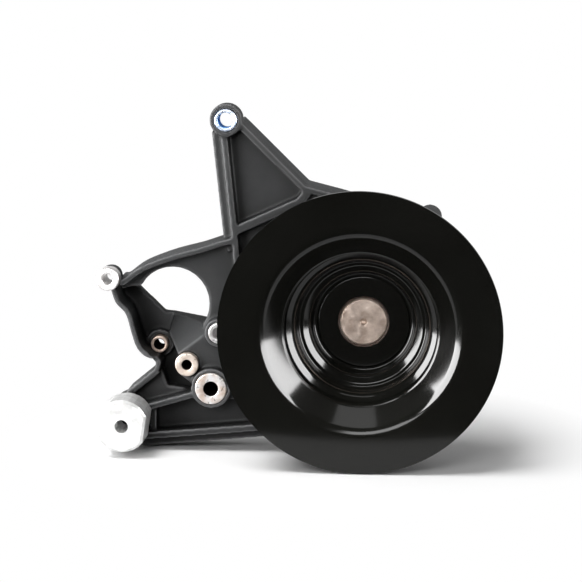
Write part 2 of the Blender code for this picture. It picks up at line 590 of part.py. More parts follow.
def make_standoff(finish):
    front = BRACKET_DEPTH + STANDOFF_LENGTH
    outline = rounded_flats(STANDOFF_CENTRE, STANDOFF_RADIUS, STANDOFF_HALF_WIDTH, STANDOFF_TILT)
    inner = rounded_flats(STANDOFF_CENTRE, STANDOFF_RADIUS - STANDOFF_CHAMFER,
                          STANDOFF_HALF_WIDTH - STANDOFF_CHAMFER, STANDOFF_TILT)
    bm = bmesh.new()
    levels = [(outline, BRACKET_DEPTH + GAP), (outline, front - STANDOFF_CHAMFER), (inner, front)]
    rings = [[bm.verts.new((x, -depth, z)) for x, z in points] for points, depth in levels]
    for near, far in zip(rings, rings[1:]):
        for i in range(len(near)):
            bm.faces.new((near[i - 1], near[i], far[i], far[i - 1]))
    bm.faces.new(rings[0])
    bm.faces.new(rings[-1])
    standoff = mesh_object("aluminium_standoff", bm, finish)
    group = helper_group("standoff_cut")
    hole = prism_mesh(circle(STANDOFF_CENTRE, STANDOFF_HOLE_RADIUS), front + CUT_OVERRUN, CUT_OVERRUN)
    boolean(standoff, "DIFFERENCE", helper("standoff_hole", hole, group))
    return standoff


# ---------------------------------------------------------------- bearing

def groove(row_y, towards_axis, steps=4):
    """The arc of a ball groove from its front edge to its rear edge, as profile points."""
    side = -1 if towards_axis else 1
    edge = math.acos((RACE_RADIUS - RACE_DEPTH) / RACE_RADIUS)
    angles = [-edge + 2 * edge * i / steps for i in range(steps + 1)]
    return [(PITCH_RADIUS + side * RACE_RADIUS * math.cos(a), row_y + RACE_RADIUS * math.sin(a)) for a in angles]


def make_shaft(finish):
    profile = [
        (0, SHAFT_FRONT_Y + CENTRE_HOLE_DEPTH), (CENTRE_HOLE_RADIUS, SHAFT_FRONT_Y),
        (SHAFT_RADIUS - SHAFT_CHAMFER, SHAFT_FRONT_Y), (SHAFT_RADIUS, SHAFT_FRONT_Y + SHAFT_CHAMFER),
        *groove(ROW_YS["front"], True), *groove(ROW_YS["rear"], True),
        (SHAFT_RADIUS, SHAFT_REAR_Y - SHAFT_CHAMFER), (SHAFT_RADIUS - SHAFT_CHAMFER, SHAFT_REAR_Y), (0, SHAFT_REAR_Y),
    ]
    return turned("bearing_shaft", profile, finish)


def make_outer_ring(finish):
    profile = [
        (OUTER_BORE, BEARING_FRONT_Y), *groove(ROW_YS["front"], False), *groove(ROW_YS["rear"], False),
        (OUTER_BORE, BEARING_REAR_Y), (BEARING_RADIUS, BEARING_REAR_Y), (BEARING_RADIUS, BEARING_FRONT_Y),
    ]
    return turned("bearing_outer_ring", profile, finish)


def make_cage(name, row_y, finish):
    half = CAGE_HALF_LENGTH
    inner, outer = PITCH_RADIUS - CAGE_THICKNESS / 2, PITCH_RADIUS + CAGE_THICKNESS / 2
    profile = [(inner, row_y - half), (outer, row_y - half), (outer, row_y + half), (inner, row_y + half)]
    cage = turned(name, profile, finish)
    group = helper_group(name + "_cut")
    for index in range(BALL_COUNT):
        pocket = bmesh.new()
        bmesh.ops.create_cone(pocket, cap_ends=True, segments=12, radius1=RACE_RADIUS, radius2=RACE_RADIUS,
                              depth=CAGE_THICKNESS * 3)
        turn = Matrix.Rotation(math.tau * index / BALL_COUNT, 4, "Y") @ Matrix.Rotation(math.pi / 2, 4, "Y")
        place = Matrix.Translation((0, row_y, 0)) @ turn @ Matrix.Translation((0, 0, PITCH_RADIUS))
        bmesh.ops.transform(pocket, matrix=place, verts=pocket.verts)
        helper(f"{name}_pocket_{index + 1}", pocket, group)
    boolean(cage, "DIFFERENCE", group)
    return cage


def make_balls(row, row_y, finish):
    for index in range(BALL_COUNT):
        bm = bmesh.new()
        bmesh.ops.create_icosphere(bm, subdivisions=2, radius=BALL_RADIUS)
        angle = math.tau * index / BALL_COUNT
        centre = (PITCH_RADIUS * math.cos(angle), row_y, -PITCH_RADIUS * math.sin(angle))
        bmesh.ops.translate(bm, verts=bm.verts, vec=centre)
        mesh_object(f"{row}_ball_{index + 1}", bm, finish, centre)


def make_bearing(finishes):
    make_shaft(finishes["steel"])
    make_outer_ring(finishes["bearing_steel"])
    for row, row_y in ROW_YS.items():
        make_cage(f"{row}_ball_cage", row_y, finishes["cage"])
        make_balls(row, row_y, finishes["bearing_steel"])
    ends = {
        "front_seal": (BEARING_FRONT_Y + SEAL_INSET, 1),
        "rear_seal": (BEARING_REAR_Y - SEAL_INSET, -1),
    }
    inner, outer = SHAFT_RADIUS + GAP, OUTER_BORE - GAP
    for name, (face, inwards) in ends.items():
        back = face + inwards * SEAL_THICKNESS
        turned(name, [(inner, face), (outer, face), (outer, back), (inner, back)], finishes["rubber"])
    make_retaining_ring(finishes["bearing_steel"])
    slinger = [
        (inner, HUB_REAR_Y + GAP), (inner + SLINGER_WIDTH, HUB_REAR_Y + GAP),
        (inner + SLINGER_WIDTH, SLINGER_REAR_Y), (inner, SLINGER_REAR_Y),
    ]
    turned("slinger", slinger, finishes["steel"])


def make_retaining_ring(finish):
    """An open spring ring in the housing's groove, with its gap at the bottom."""
    outer, inner = HOUSING_BORE + RETAINER_SEAT - GAP, HOUSING_BORE - RETAINER_DEPTH
    start, end = RETAINER_HALF_OPENING - 90, 270 - RETAINER_HALF_OPENING
    outline = arc((0, 0), outer, start, end, ROUND_SIDES) + arc((0, 0), inner, end, start, ROUND_SIDES)
    front = -RETAINER_FRONT_Y
    return mesh_object("retaining_ring", prism_mesh(outline, front, front - RETAINER_THICKNESS), finish)


# ---------------------------------------------------------------- pulley

def make_rim(finish):
    """The grooved rim. Its grooves fill the width between the two plain lands."""
    inner, front = RIM_RADIUS - RIM_WALL, PULLEY_FRONT_Y + SHEET + GAP
    count = int((RIM_REAR_Y - front - 2 * LAND_WIDTH) / GROOVE_PITCH)
    start = (front + RIM_REAR_Y - count * GROOVE_PITCH) / 2
    profile = [(inner, front), (inner, RIM_REAR_Y), (RIM_RADIUS - LAND_CHAMFER, RIM_REAR_Y)]
    profile.append((RIM_RADIUS, RIM_REAR_Y - LAND_CHAMFER))
    for index in reversed(range(count)):
        rear = start + (index + 1) * GROOVE_PITCH
        profile += [(RIM_RADIUS, rear), (RIM_RADIUS - GROOVE_DEPTH, rear - GROOVE_PITCH / 2)]
    profile += [(RIM_RADIUS, start), (RIM_RADIUS, front)]
    return turned("pulley_rim", profile, finish)


def pressed(name, corners, finish):
    """A sheet turned about the axis: its front face as bent corners, and a back one wall behind it."""
    face = rounded(corners)
    return turned(name, face + offset(face, -SHEET)[::-1], finish)


def make_dish(finish):
    """The pressed front: a flat annulus that bends into a steep wall and ends in a lip at the seam."""
    front, seam = PULLEY_FRONT_Y, PULLEY_FRONT_Y + SEAM_DEPTH
    corners = [
        ((PULLEY_RADIUS, front), 0), ((BEND_RADIUS, front), OUTER_BEND),
        ((SEAM_RADIUS + SEAM_LIP, seam), FOOT_BEND), ((SEAM_RADIUS, seam), 0),
    ]
    return pressed("pulley_dish", corners, finish)


def make_cup(finish):
    """The stepped cup between the dish and the hub, with two rounded steps and a plateau between them."""
    seam, plateau, floor = PULLEY_FRONT_Y + SEAM_DEPTH, PULLEY_FRONT_Y + PLATEAU_DEPTH, HUB_FACE_Y
    corners = [
        ((SEAM_RADIUS - GAP, seam), 0), ((SEAM_RADIUS - SHOULDER, seam), STEP_BEND),
        ((PLATEAU_OUTER, plateau), FOOT_BEND), ((PLATEAU_INNER, plateau), STEP_BEND),
        ((HUB_RADIUS + HUB_LEDGE, floor), FOOT_BEND), ((HUB_RADIUS + GAP, floor), 0),
    ]
    return pressed("pulley_cup", corners, finish)


def make_hub(finish):
    bore = SHAFT_RADIUS + GAP
    profile = [
        (bore, HUB_FACE_Y), (HUB_RADIUS, HUB_FACE_Y), (HUB_RADIUS, HUB_FACE_Y + HUB_FACE_THICKNESS),
        (HUB_BACK_RADIUS, HUB_FACE_Y + HUB_FACE_THICKNESS), (HUB_BACK_RADIUS, HUB_REAR_Y), (bore, HUB_REAR_Y),
    ]
    return turned("pulley_hub", profile, finish)


def make_pulley(finishes):
    for make in (make_rim, make_dish, make_cup, make_hub):
        make(finishes["black_paint"])


# ---------------------------------------------------------------- assembly

def axis_empty(name, y):
    empty = bpy.data.objects.new(name, None)
    empty.location = (0, y, 0)
    bpy.context.scene.collection.objects.link(empty)
    return empty


def hang(parent, names):
    """Parents the named pieces to an empty on the turning axis, and leaves them where they are."""
    bpy.context.view_layer.update()
    for name in names:
        piece = bpy.data.objects[name]
        piece.parent = parent
        piece.matrix_parent_inverse = parent.matrix_world.inverted()


def main():
    for old in list(bpy.data.objects):
        bpy.data.objects.remove(old)
    finishes = make_materials()
    make_bracket(finishes["casting"])
    make_bushings(finishes)
    make_standoff(finishes["aluminium"])
    make_bearing(finishes)
    make_pulley(finishes)
    hang(axis_empty("pulley_axis", RIM_REAR_Y),
         ["bearing_shaft", "slinger", "pulley_rim", "pulley_dish", "pulley_cup", "pulley_hub"])
    for row, row_y in ROW_YS.items():
        balls = [f"{row}_ball_{index + 1}" for index in range(BALL_COUNT)]
        hang(axis_empty(f"{row}_row_axis", row_y), [f"{row}_ball_cage", *balls])


main()
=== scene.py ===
"""Belt tensioner idler: the cast bracket, the gloss-black pulley, the bare metal bushings and the studio.

Lengths are in metres. The pulley turns about the Y axis and faces -Y, +X is to its right and +Z is up.
A profile point of a turned piece is (radius, y). Ends, holes and outer radii are measured on the CAD node
that a piece replaces; bends, edges and grooves are given here.
"""

import json
import math

import bmesh
import bpy
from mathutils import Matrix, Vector


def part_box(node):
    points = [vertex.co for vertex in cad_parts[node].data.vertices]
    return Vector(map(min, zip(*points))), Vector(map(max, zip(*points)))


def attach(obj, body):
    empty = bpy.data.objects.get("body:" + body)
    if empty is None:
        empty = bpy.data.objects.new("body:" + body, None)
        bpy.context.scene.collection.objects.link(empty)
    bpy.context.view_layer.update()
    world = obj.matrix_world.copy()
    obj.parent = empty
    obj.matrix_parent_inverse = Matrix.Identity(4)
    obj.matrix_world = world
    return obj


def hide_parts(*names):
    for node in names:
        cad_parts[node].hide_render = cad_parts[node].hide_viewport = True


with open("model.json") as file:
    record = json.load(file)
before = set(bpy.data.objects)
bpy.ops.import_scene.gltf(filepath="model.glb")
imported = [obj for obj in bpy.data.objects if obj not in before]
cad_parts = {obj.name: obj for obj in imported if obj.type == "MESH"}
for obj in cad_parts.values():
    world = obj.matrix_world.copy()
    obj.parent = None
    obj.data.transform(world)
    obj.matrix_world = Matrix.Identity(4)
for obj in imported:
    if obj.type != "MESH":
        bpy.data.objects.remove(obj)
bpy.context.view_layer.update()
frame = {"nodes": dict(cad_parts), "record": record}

MM = 0.001
TURN_SEGMENTS = 192
BUSHING_SEGMENTS = 96

# Casting
CAST_VOXEL = 0.8 * MM
CAST_SMOOTHING = 9

# Pressed pulley: each corner is (radius, depth behind the front face), with the radius of its bend
SHEET = 3.0 * MM
DISH_CORNERS = (
    ((62.8 * MM, 0.0), 10.0 * MM),
    ((50.0 * MM, 13.8 * MM), 1.6 * MM),
    ((48.9 * MM, 14.3 * MM), 0.5 * MM),
)
SEAM_DEPTH = 20.7 * MM
CUP_CORNERS = (
    ((43.2 * MM, 24.4 * MM), 8.0 * MM),
    ((40.9 * MM, 33.4 * MM), 1.2 * MM),
    ((38.4 * MM, 33.7 * MM), 2.5 * MM),
    ((33.8 * MM, 37.0 * MM), 5.0 * MM),
    ((32.0 * MM, 44.6 * MM), 1.4 * MM),
)
RIM_LAND = 2.6 * MM
GROOVE_PITCH = 3.56 * MM
GROOVE_DEPTH = 3.0 * MM

SEAM_GAP = 0.3 * MM  # round the cup's edge, and round the hub
HUB_EDGE = 0.9 * MM

# Shaft, bushings and standoff
SHAFT_EDGE = 0.9 * MM
CENTRE_RADIUS = 2.3 * MM  # of the shaft's centre drilling
CENTRE_DEPTH = 2.2 * MM
METAL_EASE = 0.7 * MM  # rounding of a bushing's outer front edge
BORE_EASE = 0.8 * MM
STANDOFF_EASE = 0.35 * MM

# Looks; a shine is a level of specular reflection
PAINT_DARK, PAINT_PALE = (0.0068, 0.0068, 0.0056), (0.0090, 0.0090, 0.0076)
PAINT_SHINE = 0.36
RUST = (0.070, 0.034, 0.020)
CAST_DARK, CAST_PALE = (0.027, 0.028, 0.029), (0.041, 0.042, 0.043)
# the first is painted shade for the casting's recesses, the second a painted highlight for its edges
CAST_PAINTED_SHADE, CAST_EDGE_HIGHLIGHT = (0.007, 0.007, 0.007), (0.20, 0.20, 0.205)
CAST_SHINE = 0.14
PAINTED_SHADE_REACH = 30.0 * MM  # how far from a wall the casting's recesses get painted shade
# the first is painted shade for the inside of the dark bores
BORE_SHADE, BLUE_BORE = (0.012, 0.010, 0.009), (0.24, 0.46, 0.80)
WARM = (0.62, 0.50, 0.43), (0.36, 0.27, 0.21)  # of bare metals, each with its tarnished colour
BEIGE = (0.78, 0.70, 0.62), (0.54, 0.43, 0.36)
PALE = (0.76, 0.75, 0.75), (0.52, 0.50, 0.49)
BLUE = (0.72, 0.78, 0.90), (0.50, 0.62, 0.82)
STANDOFF = (0.80, 0.80, 0.80), (0.60, 0.60, 0.59)
SHAFT = (0.68, 0.56, 0.48), (0.42, 0.32, 0.26)
METAL_SHARE = 0.5  # share of a bare metal that mirrors its surroundings; the rest is its own frosted tone

# Floor and backdrop: the floor shows its shadow near one place and is as white as the backdrop further off
FLOOR_DARK, FLOOR_PALE = (0.86, 0.86, 0.86), (0.88, 0.88, 0.88)
FLOOR_DROP = 0.4 * MM  # from the dish down to the floor
FLOOR_SIDE, FLOOR_BACK = 2.5, 3.5
SHADOW_MIDDLE = (-0.035, 0.0, 0.0)
SHADOW_REACH = 0.135  # the shadow is whole out to this distance from its middle
FLOOR_WHITE = 0.205  # the floor is white from this distance on
WORLD_FRONT, WORLD_BACK = 0.03, 0.45  # strength of the light from all round
WORLD_SPREAD = 0.35  # half the width of the change between the two

# Camera
CAMERA_AZIMUTH = math.radians(5.2)
CAMERA_ELEVATION = math.radians(9.5)
CAMERA_DISTANCE = 1.5
CAMERA_LENS = 148.1
AIM_OFFSET = (-42.8 * MM, 27.1 * MM)  # from the pulley's front centre to the middle of the view


# ---------------------------------------------------------------- materials

class Nodes:
    """A material's node tree, with short calls for the nodes used here."""

    def __init__(self, name):
        self.material = bpy.data.materials.new(name)
        self.material.use_nodes = True
        self.tree = self.material.node_tree
        self.shader = self.tree.nodes["Principled BSDF"]

    def add(self, kind, inputs=None, **settings):
        node = self.tree.nodes.new(kind)
        for key, value in settings.items():
            setattr(node, key, value)
        for key, value in (inputs or {}).items():
            self.put(node, key, value)
        return node

    def put(self, node, key, value):
        if isinstance(value, bpy.types.NodeSocket):
            self.tree.links.new(value, node.inputs[key])
        else:
            node.inputs[key].default_value = value

    def set(self, **values):
        """Sets inputs of the shader, each named with underscores for its spaces."""
        for key, value in values.items():
            self.put(self.shader, key.replace("_", " "), value)

    def place(self):
        return self.add("ShaderNodeTexCoord").outputs["Object"]

    def noise(self, scale, detail=4.0):
        inputs = {"Vector": self.place(), "Scale": scale, "Detail": detail}
        return self.add("ShaderNodeTexNoise", inputs).outputs["Fac"]

    def ramp(self, value, low, high, start=0.0, end=1.0):
        """Maps a value between start and end to a colour or a number between low and high."""
        inputs = {"Value": value, "From Min": start, "From Max": end}
        share = self.add("ShaderNodeMapRange", inputs).outputs["Result"]
        if isinstance(low, tuple):
            return self.mix(share, low, high)
        inputs = {"Value": share, "To Min": low, "To Max": high}
        return self.add("ShaderNodeMapRange", inputs).outputs["Result"]

    def mix(self, share, first, second):
        """Mixes two colours, each a socket or three numbers."""
        inputs = {0: share}
        for key, colour in ((6, first), (7, second)):
            inputs[key] = (*colour, 1.0) if isinstance(colour, tuple) else colour
        return self.add("ShaderNodeMix", inputs, data_type="RGBA").outputs[2]

    def math(self, operation, first, second):
        return self.add("ShaderNodeMath", {0: first, 1: second}, operation=operation).outputs[0]

    def distance(self, point, across):
        """The distance from a line through the point; across is 1 on each axis that the line is square to."""
        moved = self.add("ShaderNodeVectorMath", {0: self.place(), 1: point}, operation="SUBTRACT").outputs[0]
        flat = self.add("ShaderNodeVectorMath", {0: moved, 1: across}, operation="MULTIPLY").outputs[0]
        return self.add("ShaderNodeVectorMath", {0: flat}, operation="LENGTH").outputs["Value"]

    def radius(self, centre=(0.0, 0.0)):
        """The distance from a line along Y through the centre."""
        return self.distance((centre[0], 0.0, centre[1]), (1.0, 0.0, 1.0))

    def bump(self, height, strength, distance):
        inputs = {"Height": height, "Strength": strength, "Distance": distance}
        self.set(Normal=self.add("ShaderNodeBump", inputs).outputs["Normal"])


def casting_finish():
    """Charcoal coating over a sand-cast grain, with painted shade in its recesses and a painted highlight
    along its sharp edges.
    """
    n = Nodes("cast_charcoal")
    broad = n.noise(38.0, 3.0)
    grain = n.noise(900.0, 3.0)
    base = n.ramp(broad, CAST_DARK, CAST_PALE, 0.3, 0.7)
    # painted shade: the colour darkens to near black where walls close round a spot, found by ambient
    # occlusion
    open_to_light = n.add("ShaderNodeAmbientOcclusion", {"Distance": PAINTED_SHADE_REACH}, samples=8).outputs["AO"]
    base = n.mix(n.ramp(open_to_light, 0.0, 1.0, 0.45, 0.95), CAST_PAINTED_SHADE, base)
    # painted highlight: the casting's sharp convex edges are made paler, found by pointiness
    edge = n.add("ShaderNodeNewGeometry").outputs["Pointiness"]
    edge_highlight = n.ramp(edge, 0.0, 0.60, 0.506, 0.545)
    n.set(Base_Color=n.mix(edge_highlight, base, CAST_EDGE_HIGHLIGHT), Metallic=0.0)
    n.set(Roughness=n.ramp(grain, 0.46, 0.66, 0.3, 0.7), Specular_IOR_Level=CAST_SHINE)
    pits = n.add("ShaderNodeTexVoronoi", {"Vector": n.place(), "Scale": 620.0}).outputs["Distance"]
    n.bump(n.math("ADD", grain, n.math("MULTIPLY", pits, 0.6)), 0.55, 0.10 * MM)
    return n.material


def orange_peel(n, strength):
    n.set(Specular_IOR_Level=PAINT_SHINE)
    n.bump(n.noise(420.0, 2.0), strength, 0.05 * MM)
    return n.material


def paint_finish():
    """Gloss-black paint with a faint orange peel."""
    n = Nodes("gloss_black_paint")
    n.set(Base_Color=n.ramp(n.noise(25.0, 2.0), PAINT_DARK, PAINT_PALE, 0.3, 0.7))
    n.set(Roughness=n.ramp(n.noise(14.0, 3.0), 0.09, 0.15, 0.3, 0.7))
    return orange_peel(n, 0.06)


def hub_finish(bore_radius):
    """The same paint, with a rust-tinged rim round the shaft's bore."""
    n = Nodes("gloss_black_hub")
    away = n.math("SUBTRACT", n.radius(), bore_radius)
    uneven = n.math("ADD", away, n.math("MULTIPLY", n.noise(260.0, 3.0), 1.4 * MM))
    rust = n.ramp(uneven, 1.0, 0.0, 0.5 * MM, 2.0 * MM)
    paint = n.ramp(n.noise(25.0, 2.0), PAINT_DARK, PAINT_PALE, 0.3, 0.7)
    n.set(Base_Color=n.mix(rust, paint, RUST), Roughness=n.ramp(rust, 0.15, 0.62))
    return orange_peel(n, 0.08)


def turned_finish(name, colours, roughness, marks, centre=(0.0, 0.0), pitch=0.35 * MM, bore=None):
    """Bare metal with concentric tool marks about a line along Y, and uneven tarnish.

    The colours are the clean and the tarnished one. A bore is its radius and its matt colour, which is
    painted shade for the dark bores.
    """
    n = Nodes(name)
    wobble = n.math("MULTIPLY", n.noise(160.0, 3.0), 0.5 * MM)
    rings = n.math("SINE", n.math("MULTIPLY", n.math("ADD", n.radius(centre), wobble), math.tau / pitch), 0.0)
    tarnish = n.ramp(n.noise(210.0, 5.0), 0.0, 1.0, 0.34, 0.66)
    metal = n.mix(tarnish, *colours)
    rough = n.ramp(n.noise(330.0, 4.0), roughness - 0.05, roughness + 0.08, 0.3, 0.7)
    if bore:
        radius, colour = bore
        # the bore's inside takes the bore colour with no reflection; for the dark bores this is painted shade
        inside = n.ramp(n.radius(centre), 1.0, 0.0, radius + 0.1 * MM, radius + 0.5 * MM)
        n.set(Base_Color=n.mix(inside, metal, colour), Metallic=n.ramp(inside, METAL_SHARE, 0.0))
        n.set(Roughness=n.math("MAXIMUM", rough, inside), Specular_IOR_Level=n.ramp(inside, 0.5, 0.0))
    else:
        n.set(Base_Color=metal, Metallic=METAL_SHARE, Roughness=rough)
    n.bump(rings, marks, 0.015 * MM)
    return n.material


def plain_finish(name, colour, roughness, metallic=0.0, grain=500.0):
    """One colour with a fine uneven grain."""
    n = Nodes(name)
    darker = tuple(0.82 * c for c in colour)
    n.set(Base_Color=n.ramp(n.noise(grain, 3.0), darker, colour, 0.3, 0.7), Metallic=metallic)
    n.set(Roughness=n.ramp(n.noise(grain / 2, 3.0), roughness - 0.05, roughness + 0.08, 0.3, 0.7))
    n.bump(n.noise(grain * 2, 2.0), 0.15, 0.02 * MM)
    return n.material


# ---------------------------------------------------------------- meshes

def corner_arc(before, corner, after, radius, steps):
    """The arc that replaces a corner of a polyline."""
    before, corner, after = Vector(before), Vector(corner), Vector(after)
    back, ahead = (before - corner).normalized(), (after - corner).normalized()
    half = back.angle(ahead) / 2
    centre = corner + (back + ahead).normalized() * radius / math.sin(half)
    start = corner + back * radius / math.tan(half) - centre
    end = corner + ahead * radius / math.tan(half) - centre
    first = math.atan2(start.y, start.x)
    turn = math.remainder(math.atan2(end.y, end.x) - first, math.tau)
    angles = [first + turn * step / steps for step in range(steps + 1)]
    return [(centre.x + radius * math.cos(a), centre.y + radius * math.sin(a)) for a in angles]


def rounded(corners, steps=10, closed=False):
    """A polyline of (point, radius) corners with an arc at each corner whose radius isn't zero."""
    points = []
    count = len(corners)
    for i, (point, radius) in enumerate(corners):
        inside = closed or 0 < i < count - 1
        if radius and inside:
            points += corner_arc(corners[i - 1][0], point, corners[(i + 1) % count][0], radius, steps)
        else:
            points.append(tuple(point))
    return points


def set_back(points, distance):
    """The polyline moved towards the back of the sheet by the distance."""
    line = [Vector(p) for p in points]
    moved = []
    for i, point in enumerate(line):
        before = (point - line[i - 1]).normalized() if i else (line[1] - line[0]).normalized()
        after = (line[i + 1] - point).normalized() if i + 1 < len(line) else before
        along = (before + after).normalized()
        moved.append(tuple(point + Vector((along.y, -along.x)) * distance / max(along.dot(before), 0.5)))
    return moved


def finish_mesh(name, bm, material, centre=(0.0, 0.0), sharp=35):
    """Turns a bmesh into a smooth object at the centre, faces pointing out and sharp edges kept."""
    bmesh.ops.remove_doubles(bm, verts=bm.verts, dist=0.001 * MM)
    bmesh.ops.recalc_face_normals(bm, faces=bm.faces)
    if bm.calc_volume(signed=True) < 0:
        bmesh.ops.reverse_faces(bm, faces=bm.faces)
    mesh = bpy.data.meshes.new(name)
    bm.to_mesh(mesh)
    bm.free()
    mesh.shade_smooth()
    mesh.set_sharp_from_angle(angle=math.radians(sharp))
    mesh.materials.append(material)
    made = bpy.data.objects.new(name, mesh)
    made.location = (centre[0], 0.0, centre[1])
    bpy.context.scene.collection.objects.link(made)
    return made


def turned(name, profile, material, centre=(0.0, 0.0), segments=TURN_SEGMENTS, sharp=35):
    """A closed profile turned about the line along Y through the centre."""
    bm = bmesh.new()
    verts = [bm.verts.new((radius, y, 0.0)) for radius, y in profile]
    edges = [bm.edges.new((a, b)) for a, b in zip(verts, verts[1:])]
    if profile[0][0] > 0 or profile[-1][0] > 0:
        edges.append(bm.edges.new((verts[-1], verts[0])))
    bmesh.ops.spin(bm, geom=verts + edges, cent=(0, 0, 0), axis=(0, 1, 0), angle=math.tau, steps=segments,
                   use_merge=True)
    return finish_mesh(name, bm, material, centre, sharp)


def stand_for(piece, node, body):
    """The piece takes the place of the CAD node and moves with the body."""
    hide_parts(node)
    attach(piece, body)
    return piece


class Round:
    """The centre, the radii and the ends of a round CAD node, measured on its mesh."""

    def __init__(self, node):
        low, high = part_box(node)
        self.centre = ((low.x + high.x) / 2, (low.z + high.z) / 2)
        self.radius = (high.x - low.x) / 2
        self.front, self.rear = low.y, high.y
        points = [v.co for v in frame["nodes"][node].data.vertices]
        rings = [(math.hypot(p.x - self.centre[0], p.z - self.centre[1]), p.y) for p in points]
        self.hole = min(radius for radius, y in rings)
        self.shank = max(radius for radius, y in rings if y > self.rear - 0.5 * MM)
        self.shoulder = max((y for radius, y in rings if radius > self.shank + 0.2 * MM), default=self.rear)


# ---------------------------------------------------------------- bracket

def make_casting():
    """The casting with its corners and edges rounded as a sand mould leaves them."""
    source = frame["nodes"]["bracket_casting"]
    mesh = source.data.copy()
    mesh.name = "cast_bracket"
    mesh.materials.clear()
    mesh.materials.append(casting_finish())
    cast = bpy.data.objects.new("cast_bracket", mesh)
    bpy.context.scene.collection.objects.link(cast)
    remesh = cast.modifiers.new("grain", "REMESH")
    remesh.mode = "VOXEL"
    remesh.voxel_size = CAST_VOXEL
    remesh.use_smooth_shade = True
    soften = cast.modifiers.new("fillets", "SMOOTH")
    soften.factor = 0.5
    soften.iterations = CAST_SMOOTHING
    return stand_for(cast, "bracket_casting", "bracket")


def bushing_profile(size, outer_edge, bore_edge):
    """A bushing with eased edges, but for the bore's at the back; a wider head keeps its shoulder."""
    corners = [((size.hole, size.rear), 0.0), ((size.shank, size.rear), 0.4 * MM)]
    if size.shoulder < size.rear:
        corners += [((size.shank, size.shoulder), 0.0), ((size.radius, size.shoulder), 0.3 * MM)]
    corners += [((size.radius, size.front), outer_edge), ((size.hole, size.front), bore_edge)]
    return rounded(corners, steps=5, closed=True)


def make_bushings():
    """Each bushing's colours, roughness, depth of tool marks, colour in the bore, and material slot."""
    looks = {
        "top_bushing": (BLUE, 0.30, 0.1, BLUE_BORE, "zinc"),
        "left_bushing": (PALE, 0.34, 0.3, None, "aluminium"),
        "inner_bushing": (PALE, 0.30, 0.3, None, "aluminium"),
        "small_sleeve": (WARM, 0.34, 0.3, BORE_SHADE, "steel"),
        "middle_sleeve": (BEIGE, 0.32, 0.3, BORE_SHADE, "steel"),
        "large_sleeve": ((PALE[0], BEIGE[1]), 0.30, 0.3, BORE_SHADE, "steel"),
        "right_bushing": (WARM, 0.34, 0.3, BORE_SHADE, "steel"),
        "dowel_sleeve_1": (WARM, 0.34, 0.3, BORE_SHADE, "steel"),
        "dowel_sleeve_2": (WARM, 0.34, 0.3, BORE_SHADE, "steel"),
    }
    for node, (colours, roughness, marks, inside, slot) in looks.items():
        size = Round(node)
        bore = (size.hole, inside) if inside else None
        finish = turned_finish(f"{node}_metal", colours, roughness, marks, bore=bore)
        profile = bushing_profile(size, METAL_EASE, BORE_EASE)
        piece = turned(f"{node}_turned", profile, finish, size.centre, BUSHING_SEGMENTS)
        stand_for(piece, node, "bracket")


def make_standoff():
    """The aluminium standoff keeps its CAD shape, with eased edges and turning marks on its face."""
    node = frame["nodes"]["aluminium_standoff"]
    low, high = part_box("aluminium_standoff")
    middle = (low + high) / 2
    finish = turned_finish("standoff_metal", STANDOFF, 0.34, 0.6, (middle.x, middle.z), pitch=1.9 * MM)
    node.data.materials.clear()
    node.data.materials.append(finish)
    bevel = node.modifiers.new("eased", "BEVEL")
    bevel.width = STANDOFF_EASE
    bevel.segments = 3
    bevel.limit_method = "ANGLE"
    bevel.angle_limit = math.radians(25)


# ---------------------------------------------------------------- pulley

def pressed(name, corners, material):
    """A pressed sheet: its bent face, and a back one wall behind it, turned about the axis."""
    face = rounded(corners, steps=12)
    return turned(name, face + set_back(face, SHEET)[::-1], material, sharp=45)


def make_pulley():
    paint = paint_finish()
    dish_low, dish_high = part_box("pulley_dish")
    front, edge = dish_low.y, dish_high.x
    cup, hub, rim = Round("pulley_cup"), Round("pulley_hub"), Round("pulley_rim")
    seam = cup.radius

    def at(corner):
        return (corner[0], front + corner[1])

    face = [((edge, front), 0.0)] + [(at(c), r) for c, r in DISH_CORNERS]
    face.append(((seam + SEAM_GAP, front + SEAM_DEPTH), 0.0))
    stand_for(pressed("dish_pressed", face, paint), "pulley_dish", "pulley")
    steps = [((seam, front + SEAM_DEPTH + SEAM_GAP), 0.0)] + [(at(c), r) for c, r in CUP_CORNERS]
    steps.append(((hub.radius + SEAM_GAP, hub.front), 0.0))
    stand_for(pressed("cup_pressed", steps, paint), "pulley_cup", "pulley")
    make_rim(rim, paint)
    make_hub(hub)


def make_rim(rim, paint):
    count = int((rim.rear - rim.front - 2 * RIM_LAND) / GROOVE_PITCH)
    start = (rim.front + rim.rear - count * GROOVE_PITCH) / 2
    corners = [((rim.hole, rim.front), 0.3 * MM), ((rim.hole, rim.rear), 0.8 * MM),
               ((rim.radius, rim.rear), 0.8 * MM)]
    for index in reversed(range(count)):
        valley = start + (index + 0.5) * GROOVE_PITCH
        for radius, shift in ((rim.radius, 0.46), (rim.radius - GROOVE_DEPTH, 0.04),
                              (rim.radius - GROOVE_DEPTH, -0.04), (rim.radius, -0.46)):
            corners.append(((radius, valley + shift * GROOVE_PITCH), 0.0))
    corners.append(((rim.radius, rim.front), 0.3 * MM))
    profile = rounded(corners, steps=4, closed=True)
    stand_for(turned("rim_grooved", profile, paint), "pulley_rim", "pulley")


def make_hub(hub):
    corners = [
        ((hub.hole, hub.rear), 0.4 * MM), ((hub.shank, hub.rear), 0.6 * MM),
        ((hub.shank, hub.shoulder), 0.0), ((hub.radius, hub.shoulder), 0.6 * MM),
        ((hub.radius, hub.front), HUB_EDGE), ((hub.hole, hub.front), 0.5 * MM),
    ]
    piece = turned("hub_flange", rounded(corners, steps=5, closed=True), hub_finish(hub.hole))
    stand_for(piece, "pulley_hub", "pulley")


